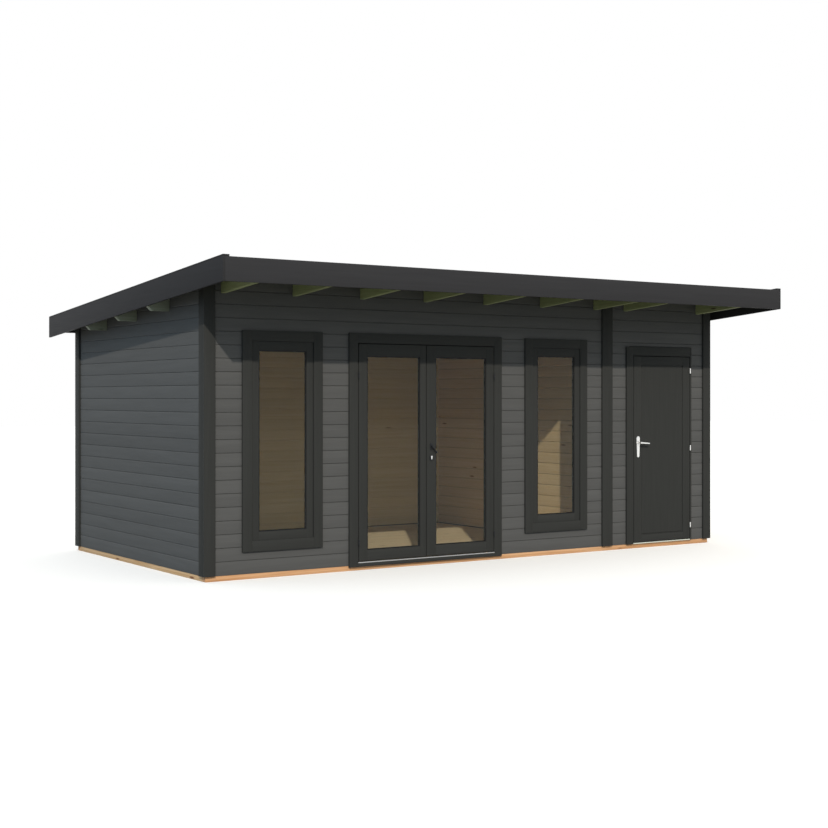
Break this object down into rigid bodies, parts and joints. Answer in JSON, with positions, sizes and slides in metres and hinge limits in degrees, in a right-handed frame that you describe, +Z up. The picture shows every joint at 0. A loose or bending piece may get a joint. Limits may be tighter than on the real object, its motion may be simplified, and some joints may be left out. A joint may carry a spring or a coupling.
{
  "type": "log cabin",
  "caption": "Low log cabin with a sloping roof and deep front overhang, glazed double doors, tall windows and a side store with its own door.",
  "frame": {"origin": "middle of the roof outline, at the underside of the bearers", "axes": "+X along the front to the right, -Y out of the front, +Z up"},
  "size_m": [6.295, 3.982, 2.6551],
  "materials": {
    "bare_pine": "planed, uncoated",
    "log_paint": "grey opaque stain",
    "trim_paint": "anthracite satin paint",
    "window_glass": "clear float glass",
    "mill_aluminium": "mill",
    "treated_timber": "impregnated",
    "mineral_felt": "mineral granules",
    "dark_hardware": "satin powder coat",
    "satin_steel": "satin"
  },
  "bodies": {
    "cabin": {"long_bearers": "bare_pine", "end_bearers": "bare_pine", "floor_joists": "bare_pine", "main_floor": "bare_pine", "store_floor": "bare_pine", "partition_wall": "bare_pine", "left_wall": "log_paint", "right_wall": "log_paint", "back_wall": "log_paint", "front_header": "log_paint", "front_left_pier": "log_paint", "left_door_pier": "log_paint", "right_door_pier": "log_paint", "partition_pier": "log_paint", "front_right_pier": "log_paint", "under_left_window": "log_paint", "under_right_window": "log_paint", "corner_posts": "trim_paint", "partition_posts": "trim_paint", "left_window_frame": "trim_paint", "left_window_sash": "trim_paint", "right_window_frame": "trim_paint", "right_window_sash": "trim_paint", "double_door_frame": "trim_paint", "double_door_stops": "trim_paint", "double_door_sill": "trim_paint", "store_door_frame": "trim_paint", "store_door_stops": "trim_paint", "front_fascia": "trim_paint", "back_fascia": "trim_paint", "barge_boards": "trim_paint", "edge_battens": "trim_paint", "left_window_glass": "window_glass", "right_window_glass": "window_glass", "double_door_threshold": "mill_aluminium", "store_door_sill": "mill_aluminium", "rafters": "treated_timber", "side_brackets": "treated_timber", "roof_deck": "treated_timber", "roof_felt": "mineral_felt", "double_frame_hinges": "dark_hardware", "store_frame_hinges": "satin_steel"},
    "left_leaf": {"left_door_leaf": "trim_paint", "left_door_glass": "window_glass", "left_door_hinges": "dark_hardware"},
    "right_leaf": {"right_door_leaf": "trim_paint", "right_door_glass": "window_glass", "right_door_hinges": "dark_hardware", "double_door_roses": "dark_hardware", "double_door_lock": "satin_steel"},
    "double_handle": {"double_door_lever": "dark_hardware"},
    "store_leaf": {"store_door_leaf": "trim_paint", "store_door_hinges": "satin_steel", "store_handle_plates": "satin_steel"},
    "store_handle": {"store_lever": "satin_steel"}
  },
  "joints": [
    {"name": "left_door_swing", "type": "hinge", "parent": "cabin", "child": "left_leaf", "pos_m": [-1.436, -1.216, 0], "axis": [0, 0, -1], "range_deg": [0, 110]},
    {"name": "right_door_swing", "type": "hinge", "parent": "cabin", "child": "right_leaf", "pos_m": [0.068, -1.216, 0], "axis": [0, 0, 1], "range_deg": [0, 110]},
    {"name": "store_door_swing", "type": "hinge", "parent": "cabin", "child": "store_leaf", "pos_m": [2.636, -1.216, 0], "axis": [0, 0, 1], "range_deg": [0, 110]},
    {"name": "double_lever_turn", "type": "hinge", "parent": "right_leaf", "child": "double_handle", "pos_m": [-0.653, -1.208, 1.09], "axis": [0, 1, 0], "range_deg": [0, 40], "stiffness_Nm_per_rad": 1.5, "springref_deg": -28.65},
    {"name": "store_lever_turn", "type": "hinge", "parent": "store_leaf", "child": "store_handle", "pos_m": [1.904, -1.208, 1.078], "axis": [0, 1, 0], "range_deg": [0, 40], "stiffness_Nm_per_rad": 1.5, "springref_deg": -28.65}
  ]
}
